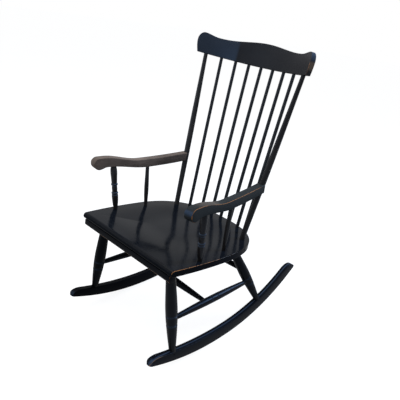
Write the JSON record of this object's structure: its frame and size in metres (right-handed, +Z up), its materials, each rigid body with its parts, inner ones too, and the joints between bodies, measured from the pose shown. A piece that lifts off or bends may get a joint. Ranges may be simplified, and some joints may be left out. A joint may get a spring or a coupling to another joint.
{
  "type": "boston rocking chair",
  "caption": "Black painted wooden rocking chair with a plank seat, a tall spindle back under a bent crest rail, scrolled arms, turned legs and curved runners.",
  "frame": {"origin": "on the floor in the chair's middle plane, level with the flats at the lowest point of the two runners, where the empty chair balances", "axes": "+Z up, -Y the way the sitter faces, +X to the sitter's left"},
  "size_m": [0.5768, 0.814, 1.0947],
  "materials": {
    "paint": "satin black paint",
    "seat_paint": "glossy black paint",
    "worn_paint": "worn satin black paint"
  },
  "bodies": {
    "root": {"seat": "seat_paint", "front_strip": "paint", "crest_rail": "paint", "left_post": "paint", "right_post": "paint", "spindle_1": "paint", "spindle_2": "paint", "spindle_3": "paint", "spindle_4": "paint", "spindle_5": "paint", "spindle_6": "paint", "spindle_7": "paint", "left_arm": "worn_paint", "right_arm": "worn_paint", "left_arm_post": "paint", "right_arm_post": "paint", "left_arm_spindle": "paint", "right_arm_spindle": "paint", "front_left_leg": "paint", "front_right_leg": "paint", "rear_left_leg": "paint", "rear_right_leg": "paint", "left_side_stretcher": "paint", "right_side_stretcher": "paint", "centre_stretcher": "paint", "rear_stretcher": "paint", "left_runner": "paint", "right_runner": "paint", "arm_pegs": "paint", "foot_pegs": "paint"}
  },
  "joints": []
}
